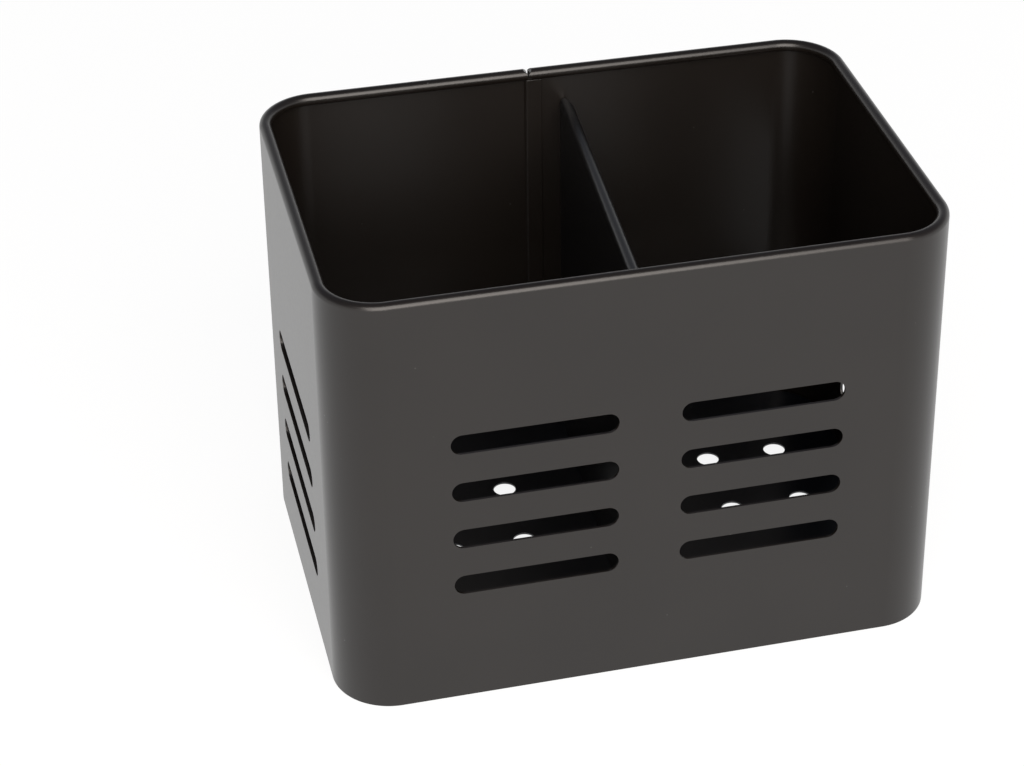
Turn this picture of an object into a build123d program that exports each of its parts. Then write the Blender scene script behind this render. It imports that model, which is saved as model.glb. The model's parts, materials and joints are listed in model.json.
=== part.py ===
from build123d import *
import math
import os

# A cutlery caddy made from three pieces of sheet steel, in millimetres.
# X runs along the front, Y from the front wall to the back wall, Z up from the base.

# ---- overall ----
width = 170.0  # outside of the left wall to outside of the right wall
depth = 118.0  # outside of the front wall to outside of the back wall
height = 127.5  # base to the top of the curled edge
corner_radius = 16.5  # outside of the four upright corners
sheet = 0.8  # all three pieces are cut from one sheet

# ---- curled edges ----
curl_inner_radius = 0.9
curl_gap = 0.35  # between the free end of a curl and the sheet it turns back to

# ---- seam in the back wall ----
seam_x = -5.5  # where the two ends of the strip meet
seam_gap = 0.5  # the open line between them
lap_width = 4.0  # of the welded lap behind the seam, to the right of it
lap_clearance = 0.4  # above the floor and below the curl
curl_ease = 1.1  # corners taken off the two ends of the curl at the seam

# ---- slots ----
slot_height = 6.0
slot_pitch = 15.0  # from one row to the next
slot_rows = 4
front_slot_z = 37.5  # centre of the lowest row in the front wall
front_slot_margin = 31.5  # from a side wall to the nearest slot end
front_slot_gap = 17.0  # between the two columns
side_slot_z = 22.5  # centre of the lowest row in the side walls
side_slot_front = 35.0  # from the front wall to the slot's near end
side_slot_back = 31.0  # from the back wall to the slot's far end

# ---- floor pan ----
floor_top = 4.5  # upper face of the floor
pan_inner_bend = 0.8  # inside radius of the bend between the floor and its skirt
pan_clearance = 0.1  # between the skirt and the sleeve
foot_gap = 0.4  # the skirt ends this far above the base
hole_diameter = 6.5
hole_columns = 3  # in each compartment
hole_rows = 3
hole_pitch_x = 21.0
hole_pitch_y = 26.0

# ---- divider ----
divider_drop = 11.0  # top of the divider below the top of the walls
divider_front_x = -0.7  # middle of its curled edge at the front wall
divider_back_x = 6.0  # and at the back wall
divider_clearance = 0.15  # between the divider and what it is welded to
flange_width = 6.0  # welding flange against the front wall
flange_margin = 6.0  # the flange stops this far above the floor and below the curl
curl_relief = 9.0  # stretch at the back where the curl is cut away to the plate

# ---- worked out from the above ----
half_width = width / 2
half_depth = depth / 2
inner_width = width - 2 * sheet
inner_depth = depth - 2 * sheet
curl_radius = curl_inner_radius + sheet
curl_turn = 360 - math.degrees(math.acos((curl_radius - sheet - curl_gap) / curl_radius))


def curled_strip(face_x, bottom, top):
    """Section of an upright sheet with its left face at face_x and its top curled to the right."""
    centre = (face_x + curl_radius, top - curl_radius)
    with BuildSketch() as section:
        with BuildLine():
            outer = CenterArc(centre, curl_radius, 180, -curl_turn)
            inner = CenterArc(centre, curl_inner_radius, 180, -curl_turn)
            Line(outer @ 1, inner @ 1)
            Polyline(inner @ 0, (face_x + sheet, bottom), (face_x, bottom), outer @ 0)
        make_face()
    return section.sketch


# ---- wall sleeve: one curled strip, bent round and lapped at the back ----
seam_left = seam_x - seam_gap / 2
seam_right = seam_x + seam_gap / 2
strip_end = Plane(origin=(seam_left, half_depth, 0), x_dir=(0, -1, 0), z_dir=(-1, 0, 0))
front_slot_length = half_width - front_slot_margin - front_slot_gap / 2
front_slot_spacing = front_slot_gap + front_slot_length
side_slot_length = depth - side_slot_front - side_slot_back
side_slot_y = (side_slot_front - side_slot_back) / 2
rows_height = (slot_rows - 1) * slot_pitch
curl_bottom = height - 2 * curl_radius
lap_bottom = floor_top + lap_clearance

with BuildPart() as wall_sleeve:
    with BuildLine() as round_the_caddy:
        FilletPolyline(
            (seam_left, half_depth),
            (-half_width, half_depth),
            (-half_width, -half_depth),
            (half_width, -half_depth),
            (half_width, half_depth),
            (seam_right, half_depth),
            radius=corner_radius,
        )
    with BuildSketch(strip_end):
        add(curled_strip(0, 0, height))
    sweep(path=round_the_caddy.wire())
    # two columns of slots in the front
    with BuildSketch(Plane.XZ.offset(half_depth)):
        with Locations((0, front_slot_z + rows_height / 2)):
            with GridLocations(front_slot_spacing, slot_pitch, 2, slot_rows):
                SlotOverall(front_slot_length, slot_height)
    extrude(amount=2 * sheet, both=True, mode=Mode.SUBTRACT)
    # one column in each side
    with BuildSketch(Plane.YZ):
        with Locations((side_slot_y, side_slot_z + rows_height / 2)):
            with GridLocations(1, slot_pitch, 1, slot_rows):
                SlotOverall(side_slot_length, slot_height)
    extrude(amount=half_width + sheet, both=True, mode=Mode.SUBTRACT)
    # the two ends of the curl are eased where they meet
    with BuildSketch(Plane.XZ.offset(curl_radius - half_depth)):
        with BuildLine():
            Polyline(
                (seam_left, height - curl_ease),
                (seam_left - curl_ease, height),
                (seam_right + curl_ease / 2, height),
                (seam_right, height - curl_ease),
                close=True,
            )
        make_face()
    extrude(amount=curl_radius, both=True, mode=Mode.SUBTRACT)
    # the lap behind the seam, set in by one sheet
    with BuildSketch(Plane.XY.offset(lap_bottom)):
        with BuildLine():
            Polyline(
                (seam_left - sheet, half_depth - sheet),
                (seam_left, half_depth - 2 * sheet),
                (seam_right + lap_width, half_depth - 2 * sheet),
                (seam_right + lap_width, half_depth - sheet),
                close=True,
            )
        make_face()
    extrude(amount=curl_bottom - lap_clearance - lap_bottom)
wall_sleeve.part.label = "wall_sleeve"

# ---- floor pan: a plate with its edge bent down, inside the sleeve ----
compartment_x = inner_width / 4  # middle of each compartment

with BuildPart() as floor_pan:
    with BuildSketch(Plane.XY.offset(foot_gap)):
        RectangleRounded(
            inner_width - 2 * pan_clearance,
            inner_depth - 2 * pan_clearance,
            corner_radius - sheet - pan_clearance,
        )
    extrude(amount=floor_top - foot_gap)
    fillet(floor_pan.faces().sort_by(Axis.Z)[-1].edges(), pan_inner_bend + sheet)
    offset(amount=-sheet, openings=floor_pan.faces().sort_by(Axis.Z)[0])
    # drain holes
    for side in (-1, 1):
        with Locations((side * compartment_x, 0, floor_top)):
            with GridLocations(hole_pitch_x, hole_pitch_y, hole_columns, hole_rows):
                Hole(hole_diameter / 2, depth=2 * sheet)
floor_pan.part.label = "floor_pan"

# ---- divider: a curled plate that stands a little askew between front and back ----
divider_top = height - divider_drop
divider_length = inner_depth - 2 * divider_clearance
slant = math.atan2(divider_back_x - divider_front_x, inner_depth)
across_divider = Plane(
    origin=((divider_front_x + divider_back_x) / 2, 0, 0),
    x_dir=(math.cos(slant), -math.sin(slant), 0),
    z_dir=(-math.sin(slant), -math.cos(slant), 0),
)
divider_front = -divider_length / 2
flange_bottom = floor_top + flange_margin
flange_top = divider_top - 2 * curl_radius - flange_margin
plate_back_x = divider_back_x - curl_radius + sheet  # right face of the plate at the back wall

with BuildPart() as divider:
    with BuildSketch(across_divider):
        add(curled_strip(-curl_radius, floor_top + divider_clearance, divider_top))
    extrude(amount=depth, both=True)
    # both ends are cut parallel to the walls
    with BuildSketch():
        Rectangle(width, divider_length)
    extrude(amount=height, mode=Mode.INTERSECT)
    # the curl is cut away towards the back wall
    with BuildSketch(Plane.XY.offset(divider_top)):
        with BuildLine():
            Polyline(
                (plate_back_x, half_depth),
                (plate_back_x + 2 * curl_radius, half_depth),
                (plate_back_x + 2 * curl_radius, half_depth - sheet - curl_relief),
                close=True,
            )
        make_face()
    extrude(amount=-2 * curl_radius, mode=Mode.SUBTRACT)
    # welding flange against the front wall
    with BuildSketch(Plane.XY.offset(flange_bottom)):
        with Locations((divider_front_x - curl_radius, divider_front)):
            Rectangle(flange_width, sheet, align=(Align.MIN, Align.MIN))
    extrude(amount=flange_top - flange_bottom)
divider.part.label = "divider"

os.makedirs("parts", exist_ok=True)
export_step(wall_sleeve.part, "parts/wall_sleeve.step")
export_step(floor_pan.part, "parts/floor_pan.step")
export_step(divider.part, "parts/divider.step")
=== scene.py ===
# %% [markdown]
# # A cutlery caddy in satin black powder coat
#
# The real object is three pieces of 0.8 mm sheet steel: a sleeve wrapped round four corners,
# a floor pan and a divider. They are spot-welded and then coated together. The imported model
# gives every size and place. This script gives each piece a surface fine enough to carry
# highlights, the soft edges that a powder coat leaves, and its satin finish.

# %% Load the frame
import json
import math

import bpy
import numpy as np
from mathutils import Matrix, Vector

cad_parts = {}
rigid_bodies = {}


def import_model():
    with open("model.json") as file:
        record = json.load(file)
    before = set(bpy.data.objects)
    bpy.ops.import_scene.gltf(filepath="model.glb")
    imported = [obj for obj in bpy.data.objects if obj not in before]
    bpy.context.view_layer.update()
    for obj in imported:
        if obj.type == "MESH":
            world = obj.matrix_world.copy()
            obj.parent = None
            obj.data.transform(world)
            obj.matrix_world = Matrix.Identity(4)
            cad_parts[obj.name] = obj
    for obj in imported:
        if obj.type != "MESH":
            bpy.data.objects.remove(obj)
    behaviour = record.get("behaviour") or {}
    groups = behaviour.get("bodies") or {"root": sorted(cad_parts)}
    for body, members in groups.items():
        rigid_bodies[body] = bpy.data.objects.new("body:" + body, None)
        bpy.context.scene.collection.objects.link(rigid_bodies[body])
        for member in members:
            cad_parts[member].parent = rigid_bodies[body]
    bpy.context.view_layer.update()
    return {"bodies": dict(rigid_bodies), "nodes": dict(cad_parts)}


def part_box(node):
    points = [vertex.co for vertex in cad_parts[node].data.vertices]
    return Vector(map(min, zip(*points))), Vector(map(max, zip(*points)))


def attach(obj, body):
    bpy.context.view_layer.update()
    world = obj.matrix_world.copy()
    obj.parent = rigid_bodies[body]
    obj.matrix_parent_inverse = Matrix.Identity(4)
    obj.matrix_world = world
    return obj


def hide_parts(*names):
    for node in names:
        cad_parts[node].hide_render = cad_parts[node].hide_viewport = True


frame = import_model()
body = list(frame["bodies"])[0]
print("body", body, "nodes", sorted(frame["nodes"]))

# %% [markdown]
# ## Sizes
#
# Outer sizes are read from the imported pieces, so the surfaces always fit them. The rest are
# real sizes of the object: the sheet, the radius of the curled edges, the slots and the
# drain holes. Everything is worked out in millimetres and turned to metres at the end.

# %% Sizes, in millimetres
MM = 0.001


def node_box(name):
    """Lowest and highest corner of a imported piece, in millimetres."""
    low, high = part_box(name)
    return np.array(low) / MM, np.array(high) / MM


sleeve_low, sleeve_high = node_box("wall_sleeve")
pan_low, pan_high = node_box("floor_pan")
divider_low, divider_high = node_box("divider")
half_width = sleeve_high[0]
half_depth = sleeve_high[1]
height = sleeve_high[2]
floor_top = pan_high[2]
divider_top = divider_high[2]

sheet = 0.8
corner_radius = 16.5
curl_radius = 1.7
curl_gap = 0.35
coat_edge = 0.22  # how round the coat leaves a cut edge
foot_round = 0.15

seam_x = -5.5
seam_gap = 0.5
lap_width = 4.0
lap_clearance = 0.4
curl_ease = 1.1
curl_clip = 2.2  # how far right of the seam the curl's underside is cut away
curl_clip_under = 0.4  # how far that cut reaches below the curl

slot_height = 6.0
slot_pitch = 15.0
slot_rows = 4
front_slot_z = 37.5
front_slot_margin = 31.5
front_slot_gap = 17.0
side_slot_z = 22.5
side_slot_front = 35.0
side_slot_back = 31.0

pan_bend = 1.6
pan_clearance = 0.1
pan_flat = 1.5  # of the plate that belongs to the rim, before the flat middle begins
hole_radius = 3.25
hole_pitch_x = 21.0
hole_pitch_y = 26.0

divider_front_x = -0.7
divider_back_x = 6.0
curl_relief = 9.0
flange_width = 6.0
flange_margin = 6.0

over = 1.0  # how far a punch reaches past the sheet
overlap = 0.1  # how deep one surface sinks into the next, so that no light gets between
print("sleeve", sleeve_low.round(2), sleeve_high.round(2))
print("floor at", floor_top.round(2), "and top of the divider at", divider_top.round(2))

# %% [markdown]
# ## From arrays to a mesh
#
# Most shapes here are a profile carried along a path. Worked out with numpy, that is a grid
# of points: one row for each step of the path and one column for each point of the profile.
# One function joins such a grid into quads, closes it round the profile, and either joins
# its two ends or caps them. Others make the mesh and its object, punch openings in a piece
# with a boolean, and round its cut edges with a bevel, as a powder coat does.


# %% Faces of a grid
def tube_faces(rows, columns, closed_path):
    """Quads of a grid whose columns run round a closed profile. Open paths get two caps."""
    row = np.arange(rows if closed_path else rows - 1)[:, None]
    column = np.arange(columns)[None, :]
    next_row = (row + 1) % rows
    next_column = (column + 1) % columns
    corners = (
        row * columns + column,
        row * columns + next_column,
        next_row * columns + next_column,
        next_row * columns + column,
    )
    faces = np.stack([np.broadcast_to(c, (len(row), columns)) for c in corners], axis=-1)
    faces = faces.reshape(-1, 4).tolist()
    if not closed_path:
        faces.append(list(range(columns))[::-1])
        faces.append(list(range((rows - 1) * columns, rows * columns)))
    return faces


print("a closed grid of 4 by 3 has", len(tube_faces(4, 3, True)), "faces")


# %% Meshes and objects
def make_mesh(name, points, faces):
    """A mesh in metres from points in millimetres, with its faces turned outwards."""
    mesh = bpy.data.meshes.new(name)
    mesh.from_pydata((np.asarray(points).reshape(-1, 3) * MM).tolist(), [], faces)
    if signed_volume(mesh) < 0:
        mesh.flip_normals()
    mesh.validate()
    mesh.shade_smooth()
    return mesh


def signed_volume(mesh):
    """Volume of a closed mesh: the sum of the tetrahedra from the origin to each triangle."""
    mesh.calc_loop_triangles()
    corners = np.empty(len(mesh.loop_triangles) * 3, dtype=np.int32)
    mesh.loop_triangles.foreach_get("vertices", corners)
    places = np.empty(len(mesh.vertices) * 3)
    mesh.vertices.foreach_get("co", places)
    a, b, c = places.reshape(-1, 3)[corners].reshape(-1, 3, 3).transpose(1, 0, 2)
    return float(np.einsum("ij,ij->i", a, np.cross(b, c)).sum() / 6)


def make_object(name, mesh):
    """An object for the mesh, at the origin and linked into the scene."""
    piece = bpy.data.objects.new(name, mesh)
    bpy.context.scene.collection.objects.link(piece)
    return piece


# %% Punching and softening
def punch(piece, tools):
    """Cuts the tool meshes out of the piece, as a press does before the coat goes on."""
    cutter = make_object("punch", tools)
    cut = piece.modifiers.new("punched", "BOOLEAN")
    cut.operation = "DIFFERENCE"
    cut.solver = "EXACT"
    cut.object = cutter
    graph = bpy.context.evaluated_depsgraph_get()
    mesh = bpy.data.meshes.new_from_object(piece.evaluated_get(graph))
    piece.modifiers.clear()
    piece.data = mesh
    bpy.data.objects.remove(cutter)
    mesh.shade_smooth()


BEVEL_SEGMENTS = 3
BEVEL_ANGLE = 40  # degrees; sharper edges than this are rounded


def soften(piece, width):
    """Rounds the cut edges by width, in millimetres, and keeps the flat faces flat."""
    bevel = piece.modifiers.new("coat_edge", "BEVEL")
    bevel.width = width * MM
    bevel.segments = BEVEL_SEGMENTS
    bevel.limit_method = "ANGLE"
    bevel.angle_limit = math.radians(BEVEL_ANGLE)
    bevel.use_clamp_overlap = True
    normals = piece.modifiers.new("flat_faces", "WEIGHTED_NORMAL")
    normals.keep_sharp = False
    normals.weight = 80


print("cut edges are rounded by", coat_edge, "mm")


# %% [markdown]
# ## Paths and profiles
#
# The sleeve's plan is a rectangle with round corners. Its points come with the direction
# that faces out, so a profile can be set in from it by any amount. The profile of a curled
# edge is a strip whose top turns in on itself, most of the way round a circle.


# %% The rounded rectangle and the curled strip
CORNER_STEPS = 28
CURL_STEPS = 30


def rounded_rectangle(half_x, half_y, radius, ends=()):
    """Points and outward directions, from the back wall round by the left side.

    Each corner is a quarter circle: its centre plus radius times the unit vector at an
    angle that grows by 90 degrees. ends adds a first and a last point on the back wall.
    """
    turn = np.linspace(0, np.pi / 2, CORNER_STEPS + 1)
    signs = np.array([(-1, 1), (-1, -1), (1, -1), (1, 1)])
    starts = np.array([1, 2, 3, 4]) * np.pi / 2
    angle = starts[:, None] + turn[None, :]
    out = np.stack([np.cos(angle), np.sin(angle)], axis=-1)
    centres = signs * np.array([half_x - radius, half_y - radius])
    points = (centres[:, None, :] + radius * out).reshape(-1, 2)
    out = out.reshape(-1, 2)
    if ends:
        first, last = ((x, half_y) for x in ends)
        points = np.vstack([first, points, last])
        out = np.vstack([(0, 1), out, (0, 1)])
    return points, out


def curled_strip(bottom, top):
    """Closed outline of an upright sheet, as (distance from its outer face, height).

    The outer face rises to the middle of the curl, then follows the outer circle. A small
    half circle closes the free end, and the inner circle leads back to the inner face.
    """
    centre = np.array([curl_radius, top - curl_radius])
    inner_radius = curl_radius - sheet
    turn = 2 * np.pi - math.acos((curl_radius - sheet - curl_gap) / curl_radius)
    angle = np.pi - np.linspace(0, turn, CURL_STEPS + 1)
    direction = np.stack([np.cos(angle), np.sin(angle)], axis=-1)
    outer = centre + curl_radius * direction
    inner = centre + inner_radius * direction[::-1]
    tip = (outer[-1] + inner[0]) / 2
    along = np.array([direction[-1][1], -direction[-1][0]])
    cap_angle = np.linspace(0, np.pi, 7)[1:-1, None]
    cap = tip + sheet / 2 * (np.cos(cap_angle) * direction[-1] + np.sin(cap_angle) * along)
    round_foot = np.linspace(0, np.pi, 9)
    across = sheet / 2 * (1 + np.cos(round_foot))
    up = bottom + foot_round * (1 - np.sin(round_foot))
    foot = np.stack([across, up], axis=-1)
    return np.vstack([outer, cap, inner, foot])


strip = curled_strip(0.0, height)
print("curled strip has", len(strip), "points")

# %% [markdown]
# ## Punches
#
# Slots and holes are prisms with a stadium or a circle for their outline. A stadium is two
# half circles joined by straight sides. The prisms are made along any of the three axes,
# and one mesh holds all those that cut one piece.

# %% Outlines and prisms
AXES = {"x": (1, 2, 0), "y": (0, 2, 1), "z": (0, 1, 2)}


def stadium(length, width, steps=20):
    """Two half circles of radius width / 2, whose centres stand length - width apart."""
    angle = np.linspace(-np.pi / 2, np.pi / 2, steps + 1)
    right = width / 2 * np.stack([np.cos(angle), np.sin(angle)], axis=-1)
    right[:, 0] += (length - width) / 2
    return np.vstack([right, -right])


def circle(radius, steps=40):
    """Points at equal angles: radius times (cosine, sine)."""
    angle = np.arange(steps) * 2 * np.pi / steps
    return radius * np.stack([np.cos(angle), np.sin(angle)], axis=-1)


def prisms(name, outlines, axis, start, end):
    """One mesh of prisms: each outline, closed, carried along an axis from start to end."""
    across, up, along = AXES[axis]
    points, faces = [], []
    for outline in outlines:
        count = len(outline)
        block = np.zeros((2, count, 3))
        block[:, :, across] = outline[:, 0]
        block[:, :, up] = outline[:, 1]
        block[:, :, along] = np.array([start, end])[:, None]
        base = sum(map(len, points))
        points.append(block.reshape(-1, 3))
        faces += [[base + i for i in face] for face in tube_faces(2, count, False)]
    return make_mesh(name, np.vstack(points), faces)


def joined(name, meshes):
    """One mesh from several."""
    points, faces = [], []
    for mesh in meshes:
        base = len(points)
        points += [tuple(v.co) for v in mesh.vertices]
        faces += [[base + i for i in face.vertices] for face in mesh.polygons]
    whole = bpy.data.meshes.new(name)
    whole.from_pydata(points, [], faces)
    return whole


slot_points = len(stadium(10 * slot_height, slot_height))
print("outline points: slot", slot_points, "drain hole", len(circle(hole_radius)))

# %% [markdown]
# ## The wall sleeve
#
# On the real caddy this is one strip: punched flat, curled along one edge, then bent round
# a former until its ends meet at the back. Here the curled profile is carried round the
# rounded rectangle from one side of the seam to the other, and the slots are cut after.

# %% Sleeve before it is punched
seam_left = seam_x - seam_gap / 2
seam_right = seam_x + seam_gap / 2
path, outwards = rounded_rectangle(half_width, half_depth, corner_radius, (seam_left, seam_right))
sleeve_points = np.zeros((len(path), len(strip), 3))
sleeve_points[:, :, :2] = path[:, None, :] - strip[None, :, :1] * outwards[:, None, :]
sleeve_points[:, :, 2] = strip[None, :, 1]
sleeve_mesh = make_mesh("sleeve", sleeve_points, tube_faces(len(path), len(strip), False))
sleeve = make_object("sleeve", sleeve_mesh)
print("plain sleeve faces", len(sleeve.data.polygons))

# %% Slots
rows = np.arange(slot_rows) * slot_pitch
front_slot_length = half_width - front_slot_margin - front_slot_gap / 2
front_slot_x = (front_slot_gap + front_slot_length) / 2
side_slot_length = 2 * half_depth - side_slot_front - side_slot_back
side_slot_y = (side_slot_front - side_slot_back) / 2
front_slots = [
    stadium(front_slot_length, slot_height) + (side * front_slot_x, front_slot_z + z)
    for side in (-1, 1)
    for z in rows
]
side_slots = [
    stadium(side_slot_length, slot_height) + (side_slot_y, side_slot_z + z) for z in rows
]
print("slots: front", len(front_slots), "of", front_slot_length.round(1), "mm")
print("slots: each side", len(side_slots), "of", side_slot_length.round(1), "mm")

# %% [markdown]
# ## Where the curl's two ends meet
#
# Two ends of a curl that meet would rub while the strip is bent round, so their upper corners
# are taken off, and the underside of the right one is cut away over the lap. Both cuts are
# prisms through the back wall's curl.

# %% Cuts at the seam, and the punching
ease = np.array(
    [
        (seam_left - curl_ease - over, height + over),
        (seam_left, height - curl_ease),
        (seam_right, height - curl_ease),
        (seam_right + curl_ease / 2 + over, height + over),
    ]
)
curl_bottom = height - 2 * curl_radius
clip = np.array(
    [
        (seam_left, height - curl_radius),
        (seam_right, height - curl_radius),
        (seam_right + curl_clip, curl_bottom - curl_clip_under),
        (seam_left, curl_bottom - curl_clip_under),
    ]
)
inner_back = half_depth - sheet
curl_front = half_depth - 2 * curl_radius - over
cuts = [
    prisms("front_slots", front_slots, "y", -half_depth - 2 * over, -half_depth + 2 * sheet),
    prisms("side_slots", side_slots, "x", -half_width - 2 * over, half_width + 2 * over),
    prisms("ease", [ease], "y", curl_front, half_depth + over),
    prisms("clip", [clip], "y", curl_front, inner_back - overlap),
]
punch(sleeve, joined("sleeve_punch", cuts))
soften(sleeve, coat_edge)
print("sleeve faces", len(sleeve.data.polygons))

# %% [markdown]
# ## The lap behind the seam
#
# The two ends of the strip are welded over a lap on the inside of the back wall. It shows
# as a narrow band between two fine lines. It is a thin plate with one bent edge, so a prism
# is all that it needs.

# %% Lap
lap_outline = np.array(
    [
        (seam_left - sheet, inner_back + overlap),
        (seam_left, inner_back - sheet),
        (seam_right + lap_width, inner_back - sheet),
        (seam_right + lap_width, inner_back + overlap),
    ]
)
lap_bottom = floor_top + lap_clearance
lap_top = curl_bottom - lap_clearance
lap = make_object("seam_lap", prisms("seam_lap", [lap_outline], "z", lap_bottom, lap_top))
soften(lap, coat_edge)
print("lap from", lap_bottom.round(2), "to", lap_top.round(2))

# %% [markdown]
# ## The floor pan
#
# A pressed pan has a flat plate, a small bend and a short skirt. Its section is a closed
# outline carried round a rounded rectangle, down the skirt outside and up again inside, and
# two flat faces close the middle. The drain holes are punched after that.

# %% Section of the pan
BEND_STEPS = 8


def pan_section():
    """Outline from the underside's rim, round the skirt, to the upper face's rim.

    As (distance in from the outer face, height). Both bends are quarter circles round one
    centre, the inner one smaller by the sheet.
    """
    angle = np.linspace(0, np.pi / 2, BEND_STEPS + 1)
    centre = np.array([pan_bend, floor_top - pan_bend])
    quarter = np.stack([-np.cos(angle), np.sin(angle)], axis=-1)
    outer = centre + pan_bend * quarter
    inner = centre + (pan_bend - sheet) * quarter[::-1]
    skirt = np.array([(sheet, pan_low[2]), (0, pan_low[2])])
    rim = pan_bend + pan_flat
    return np.vstack([(rim, floor_top - sheet), inner, skirt, outer, (rim, floor_top)])


section = pan_section()
print("pan section has", len(section), "points")

# %% Floor pan
pan_radius = corner_radius - sheet - pan_clearance
path, outwards = rounded_rectangle(pan_high[0], pan_high[1], pan_radius)
pan_points = np.zeros((len(path), len(section), 3))
pan_points[:, :, :2] = path[:, None, :] - section[None, :, :1] * outwards[:, None, :]
pan_points[:, :, 2] = section[None, :, 1]
ring = np.arange(len(path)) * len(section)
pan_faces = [
    face
    for face in tube_faces(len(path), len(section), True)
    if not {face[0] % len(section), face[1] % len(section)} == {0, len(section) - 1}
]
pan_faces += [ring.tolist(), (ring + len(section) - 1)[::-1].tolist()]
pan = make_object("pan", make_mesh("pan", pan_points, pan_faces))
print("plain pan faces", len(pan.data.polygons))

# %% Drain holes
compartment_x = (half_width - sheet) / 2
holes = [
    circle(hole_radius) + (side * compartment_x + column * hole_pitch_x, row * hole_pitch_y)
    for side in (-1, 1)
    for column in (-1, 0, 1)
    for row in (-1, 0, 1)
]
punch(pan, prisms("drain_holes", holes, "z", floor_top - 2 * sheet, floor_top + over))
soften(pan, coat_edge)
print("drain holes", len(holes), "pan faces", len(pan.data.polygons))

# %% [markdown]
# ## The divider
#
# The divider has the same curl along its top as the sleeve, and stands a little askew. Its
# profile is carried straight from the front wall to the back wall. Near the back wall the
# curl is trimmed down to the plate, so a wedge is punched out of it there. A small flange,
# bent to the right, is what the real one is welded by at the front wall.

# %% Divider
DIVIDER_STEPS = 13
plate = curled_strip(divider_low[2], divider_top)
y = np.linspace(divider_low[1], divider_high[1], DIVIDER_STEPS)
x = np.linspace(divider_front_x, divider_back_x, DIVIDER_STEPS) - curl_radius
divider_points = np.zeros((len(y), len(plate), 3))
divider_points[:, :, 0] = x[:, None] + plate[None, :, 0]
divider_points[:, :, 1] = y[:, None]
divider_points[:, :, 2] = plate[None, :, 1]
divider_mesh = make_mesh("divider_plate", divider_points, tube_faces(len(y), len(plate), False))
divider = make_object("divider_plate", divider_mesh)
plate_back_x = divider_back_x - curl_radius + sheet
wedge = np.array(
    [
        (plate_back_x, half_depth),
        (plate_back_x + 2 * curl_radius, half_depth - sheet - curl_relief),
        (plate_back_x + 2 * curl_radius, half_depth),
    ]
)
wedge_low = divider_top - 2 * curl_radius - overlap / 2
punch(divider, prisms("curl_relief", [wedge], "z", wedge_low, divider_top + over))
soften(divider, coat_edge)
print("divider faces", len(divider.data.polygons))

# %% Flange of the divider
flange_left = divider_front_x - curl_radius
flange_front = divider_low[1]
flange_outline = np.array(
    [
        (flange_left, flange_front),
        (flange_left + flange_width, flange_front),
        (flange_left + flange_width, flange_front + sheet),
        (flange_left, flange_front + sheet),
    ]
)
flange_low = floor_top + flange_margin
flange_high = divider_top - 2 * curl_radius - flange_margin
flange_mesh = prisms("divider_flange", [flange_outline], "z", flange_low, flange_high)
flange = make_object("divider_flange", flange_mesh)
soften(flange, coat_edge)
print("flange from", flange_low.round(2), "to", flange_high.round(2))

# %% [markdown]
# ## Every piece rides on its body
#
# Each new surface stands for one imported piece, so that piece is hidden. The caddy has no
# joints, so there is one body.

# %% Bodies and replaced pieces
for piece, packed, slot in (
    (sleeve, "wall_sleeve", "sleeve_coat"),
    (lap, "wall_sleeve", "sleeve_coat"),
    (pan, "floor_pan", "pan_coat"),
    (divider, "divider", "divider_coat"),
    (flange, "divider", "divider_coat"),
):
    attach(piece, body)
    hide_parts(packed)
    print(piece.name, "stands for", packed)

# %% [markdown]
# ## Satin black polyester powder coat
#
# Powder is sprayed on dry and baked until it flows together. It covers the steel
# completely, so the finish is a plastic, not a metal: a near black under a skin with an
# index of refraction of about 1.5. The skin is a little rough, which spreads
# reflections, and it dries with a fine ripple called orange peel. A bent sheet is never
# quite flat either, so a slower wave lies under the ripple.


# %% Colours and nodes
def linear(hex_colour):
    """sRGB hex to the linear values that Blender works in, with alpha 1.

    A value is divided by 12.92 up to 0.04045. Above that, 0.055 is added, the sum is divided
    by 1.055, and the result is raised to the power 2.4.
    """
    values = np.array([int(hex_colour[i : i + 2], 16) for i in (1, 3, 5)]) / 255
    low, high = values / 12.92, ((values + 0.055) / 1.055) ** 2.4
    return (*np.where(values <= 0.04045, low, high).tolist(), 1.0)


def add_node(tree, kind, settings=None, inputs=None, links=None):
    """Adds a node, with settings for itself, values for its sockets, and links into them."""
    made = tree.nodes.new(kind)
    for name, value in (settings or {}).items():
        setattr(made, name, value)
    for name, value in (inputs or {}).items():
        made.inputs[name].default_value = value
    for name, source in (links or {}).items():
        tree.links.new(source, made.inputs[name])
    return made


print("mid grey #808080 is", round(linear("#808080")[0], 3), "when linear")

# %% Powder coat
PEEL = 0.9  # mm from ripple to ripple, drawn a little coarser than the real 0.5
PEEL_DEPTH = 0.004  # mm
WAVE = 38.0  # mm, the slow wave of bent sheet
WAVE_DEPTH = 0.06  # mm
DUST_CELL = 8.0  # mm, the cube of space that holds one speck
DUST_RADIUS = 0.22  # mm
DUST = "#585858"
CLOUD = (0.35, 0.65)  # the stretch of the slow noise over which dark turns to light
ROUGHNESS = 0.30
ROUGHNESS_SPREAD = 0.02
COAT_IOR = 1.53


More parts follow.
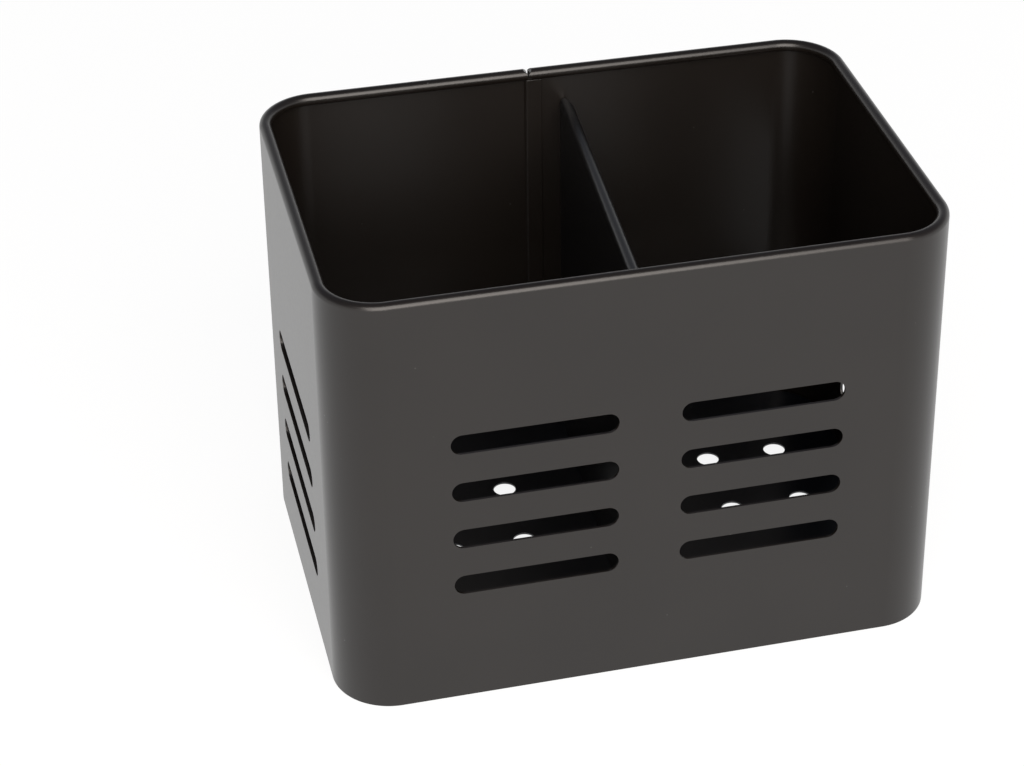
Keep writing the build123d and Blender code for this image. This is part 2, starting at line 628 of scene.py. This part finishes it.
def powder_coat(name, dark, light):
    """Satin powder coat: two near blacks in slow clouds, a few specks of dust, fine ripple."""
    material = bpy.data.materials.new(name)
    material.use_nodes = True
    tree = material.node_tree
    tree.nodes.clear()
    place = add_node(tree, "ShaderNodeTexCoord").outputs["Object"]
    slow, fine = (
        add_node(
            tree,
            "ShaderNodeTexNoise",
            inputs={"Scale": 1 / (size * MM), "Detail": 1.0},
            links={"Vector": place},
        ).outputs["Fac"]
        for size in (WAVE, PEEL)
    )

    # colour: clouds as broad as the slow wave, and a speck where a cell's middle is near
    tint = add_node(tree, "ShaderNodeValToRGB", links={"Fac": slow})
    tint.color_ramp.elements[0].position = CLOUD[0]
    tint.color_ramp.elements[0].color = linear(dark)
    tint.color_ramp.elements[1].position = CLOUD[1]
    tint.color_ramp.elements[1].color = linear(light)
    cell = add_node(
        tree,
        "ShaderNodeTexVoronoi",
        inputs={"Scale": 1 / (DUST_CELL * MM)},
        links={"Vector": place},
    )
    speck = add_node(tree, "ShaderNodeValToRGB", links={"Fac": cell.outputs["Distance"]})
    speck.color_ramp.elements[0].position = 0.5 * DUST_RADIUS / DUST_CELL
    speck.color_ramp.elements[0].color = linear(DUST)
    speck.color_ramp.elements[1].position = DUST_RADIUS / DUST_CELL
    speck.color_ramp.elements[1].color = linear("#000000")
    colour = add_node(
        tree,
        "ShaderNodeMix",
        settings={"data_type": "RGBA", "blend_type": "ADD"},
        inputs={0: 1.0},
        links={6: tint.outputs["Color"], 7: speck.outputs["Color"]},
    )

    # surface: roughness varies with the orange peel, which ripples on top of the slow wave
    roughness = add_node(
        tree,
        "ShaderNodeMapRange",
        inputs={
            "To Min": ROUGHNESS - ROUGHNESS_SPREAD,
            "To Max": ROUGHNESS + ROUGHNESS_SPREAD,
        },
        links={"Value": fine},
    )
    sheet_wave = add_node(
        tree, "ShaderNodeBump", inputs={"Distance": WAVE_DEPTH * MM}, links={"Height": slow}
    )
    peel = add_node(
        tree,
        "ShaderNodeBump",
        inputs={"Distance": PEEL_DEPTH * MM},
        links={"Height": fine, "Normal": sheet_wave.outputs["Normal"]},
    )
    skin = add_node(
        tree,
        "ShaderNodeBsdfPrincipled",
        inputs={"IOR": COAT_IOR, "Metallic": 0.0},
        links={
            "Base Color": colour.outputs[2],
            "Roughness": roughness.outputs["Result"],
            "Normal": peel.outputs["Normal"],
        },
    )
    add_node(tree, "ShaderNodeOutputMaterial", links={"Surface": skin.outputs["BSDF"]})
    return material


print("ripple", PEEL, "mm apart, wave", WAVE, "mm, roughness", ROUGHNESS)

# %% [markdown]
# ## One coat, with light and shade painted into three tints
#
# All three pieces are coated together in one near black. The sleeve's outside shows a warm black,
# which is painted warm reflected light on the coat's own colour. The pan lies in deep shade and
# shows a navy one, which is painted shade, and the divider's darker black between them is painted
# shade too. So each piece has a lit or shaded copy of the coat, with the same skin.

# %% A coat for each piece, with light and shade painted into its tint
# Painted light and shade: the sleeve's warm cast is painted warm reflection, and the pan's navy
# and the divider's darker black are painted shade.
sleeve_coat = powder_coat("powder_coat_sleeve_painted_warm_reflection", "#15110e", "#181411")
pan_coat = powder_coat("powder_coat_pan_painted_shade", "#0b0d12", "#0e1016")
divider_coat = powder_coat("powder_coat_divider_painted_shade", "#0d0d0f", "#111113")
for piece, coat in (
    (sleeve, sleeve_coat),
    (lap, sleeve_coat),
    (pan, pan_coat),
    (divider, divider_coat),
    (flange, divider_coat),
):
    piece.data.materials.clear()
    piece.data.materials.append(coat)
    print(piece.name, "wears", coat.name)

# %% [markdown]
# ## Studio
#
# A black satin thing is drawn by what it reflects. The caddy stands on a white table. To the
# camera and in reflections the table is made white by its own glow, and a dark diffuse share
# on top keeps a faint shadow. For the light that it throws on the caddy it is a plain board.

# %% Table
TABLE_SIZE = 6.0  # m
TABLE_GLOW = 0.9  # the rest, up to white, comes from the lamp and the room


def only_seen(tree):
    """1 for rays from the camera and in reflections, 0 for those that carry diffuse light."""
    path = add_node(tree, "ShaderNodeLightPath")
    total = path.outputs["Is Camera Ray"]
    for name in ("Is Glossy Ray", "Is Transmission Ray"):
        step = add_node(tree, "ShaderNodeMath", settings={"operation": "MAXIMUM"})
        tree.links.new(total, step.inputs[0])
        tree.links.new(path.outputs[name], step.inputs[1])
        total = step.outputs["Value"]
    return total


def white_table():
    """A board for diffuse light, and a glow plus a dark board where it is seen."""
    material = bpy.data.materials.new("white_table")
    material.use_nodes = True
    tree = material.node_tree
    tree.nodes.clear()
    board = add_node(tree, "ShaderNodeBsdfDiffuse", inputs={"Color": linear("#e8e8e8")})
    shade = add_node(tree, "ShaderNodeBsdfDiffuse", inputs={"Color": linear("#686868")})
    glow = add_node(tree, "ShaderNodeEmission", inputs={"Strength": TABLE_GLOW})
    seen = add_node(tree, "ShaderNodeAddShader")
    tree.links.new(glow.outputs["Emission"], seen.inputs[0])
    tree.links.new(shade.outputs["BSDF"], seen.inputs[1])
    mix = add_node(tree, "ShaderNodeMixShader", links={"Fac": only_seen(tree)})
    tree.links.new(board.outputs["BSDF"], mix.inputs[1])
    tree.links.new(seen.outputs["Shader"], mix.inputs[2])
    add_node(tree, "ShaderNodeOutputMaterial", links={"Surface": mix.outputs["Shader"]})
    return material


half_table = TABLE_SIZE / 2
table_mesh = bpy.data.meshes.new("table")
table_corners = [(x, y, 0) for x, y in ((-1, -1), (1, -1), (1, 1), (-1, 1))]
table_mesh.from_pydata((np.array(table_corners) * half_table).tolist(), [], [(0, 1, 2, 3)])
table_mesh.materials.append(white_table())
table = make_object("table", table_mesh)
print("table", TABLE_SIZE, "m square")

# %% [markdown]
# ## Surround
#
# Where the camera or a reflection sees the surround, it is white up to a little above the
# level of the table and dim overhead, as in a room with white walls and an unlit ceiling.
# That dim part is what the top of the curl mirrors. Diffuse light comes from an even grey.

# %% Surround
# share of the way from straight down to straight up, and the colour there
SKY = (
    (0.0, "#ffffff"),
    (0.58, "#ffffff"),
    (0.66, "#c0c0c2"),
    (0.78, "#707480"),
    (1.0, "#60646e"),
)


def surround():
    """White at the level of the table and darker overhead where it is seen or mirrored."""
    world = bpy.data.worlds.new("surround")
    world.use_nodes = True
    tree = world.node_tree
    tree.nodes.clear()
    direction = add_node(tree, "ShaderNodeTexCoord").outputs["Generated"]
    split = add_node(tree, "ShaderNodeSeparateXYZ", links={"Vector": direction})
    level = add_node(
        tree, "ShaderNodeMapRange", inputs={"From Min": -1.0}, links={"Value": split.outputs["Z"]}
    )
    sky = add_node(tree, "ShaderNodeValToRGB", links={"Fac": level.outputs["Result"]})
    while len(sky.color_ramp.elements) < len(SKY):
        sky.color_ramp.elements.new(0.5)
    for element, (position, colour) in zip(sky.color_ramp.elements, SKY):
        element.position = position
        element.color = linear(colour)
    seen = add_node(tree, "ShaderNodeBackground", links={"Color": sky.outputs["Color"]})
    room = add_node(tree, "ShaderNodeBackground", inputs={"Color": linear("#a2a4a8")})
    mix = add_node(tree, "ShaderNodeMixShader", links={"Fac": only_seen(tree)})
    tree.links.new(room.outputs["Background"], mix.inputs[1])
    tree.links.new(seen.outputs["Background"], mix.inputs[2])
    add_node(tree, "ShaderNodeOutputWorld", links={"Surface": mix.outputs["Shader"]})
    return world


bpy.context.scene.world = surround()
print("surround in", len(SKY), "steps")

# %% [markdown]
# ## Lamp
#
# The photograph shows one broad soft highlight along the front of each curl. A softbox about
# a metre square, high in front, gives it: it is large against the caddy, so the highlight
# has soft ends and the shadow no edge.

# %% Lamp
middle = Vector((0, 0, height / 2)) * MM


def softbox(name, azimuth, elevation, distance, size, power, tint):
    """A soft lamp that faces the caddy. Azimuth 0 is in front, 90 is on the right.

    It stands at the caddy's middle plus distance times the unit vector of both angles.
    """
    turn, rise = math.radians(azimuth), math.radians(elevation)
    towards = Vector((math.sin(turn) * math.cos(rise), -math.cos(turn) * math.cos(rise)))
    towards = Vector((*towards, math.sin(rise)))
    lamp = bpy.data.lights.new(name, "AREA")
    lamp.shape = "RECTANGLE"
    lamp.size, lamp.size_y = size
    lamp.energy = power
    lamp.color = linear(tint)[:3]
    holder = bpy.data.objects.new(name, lamp)
    bpy.context.scene.collection.objects.link(holder)
    turned = towards.to_track_quat("Z", "Y").to_matrix().to_4x4()
    holder.matrix_world = Matrix.Translation(middle + towards * distance) @ turned


softbox(
    "front_lamp",
    azimuth=-3,
    elevation=32,
    distance=1.3,
    size=(1.1, 1.2),
    power=21.0,
    tint="#fff6ee",
)
print("lamps", len(bpy.data.lights))

# %% [markdown]
# ## Camera
#
# The camera stands where the photograph was taken from. Its place and turn come from lining
# up the caddy's edges and slots. They line up best with a shifted lens, as they do where a
# photograph is cropped from a larger one, so the lens's axis meets the picture off its middle.

# %% Camera
PICTURE = (1024, 766)  # px
SENSOR = 36.0  # mm
FOCAL_LENGTH = 2857.0  # px
LENS_AXIS = (615.1, 226.9)  # px, where the lens's axis meets the picture
CAMERA_PLACE = (-168.5, -654.5, 504.0)  # mm
AZIMUTH, ELEVATION, ROLL = (math.radians(a) for a in (-14.896, 30.442, 0.366))

back = Vector((math.sin(AZIMUTH), -math.cos(AZIMUTH))) * math.cos(ELEVATION)
back = Vector((*back, math.sin(ELEVATION)))
level_right = Vector((math.cos(AZIMUTH), math.sin(AZIMUTH), 0))
level_up = back.cross(level_right)
right = level_right * math.cos(ROLL) + level_up * math.sin(ROLL)
up = level_up * math.cos(ROLL) - level_right * math.sin(ROLL)
lens = bpy.data.cameras.new("camera")
lens.sensor_width = SENSOR
lens.lens = FOCAL_LENGTH * SENSOR / PICTURE[0]
lens.shift_x = (PICTURE[0] / 2 - LENS_AXIS[0]) / PICTURE[0]
lens.shift_y = (LENS_AXIS[1] - PICTURE[1] / 2) / PICTURE[0]
lens.clip_end = 50.0
camera = bpy.data.objects.new("camera", lens)
bpy.context.scene.collection.objects.link(camera)
turned = Matrix((right, up, back)).transposed().to_4x4()
camera.matrix_world = Matrix.Translation(Vector(CAMERA_PLACE) * MM) @ turned
bpy.context.scene.camera = camera
bpy.context.scene.view_settings.view_transform = "Standard"
print("lens", round(lens.lens, 1), "mm, shift", round(lens.shift_x, 3), round(lens.shift_y, 3))
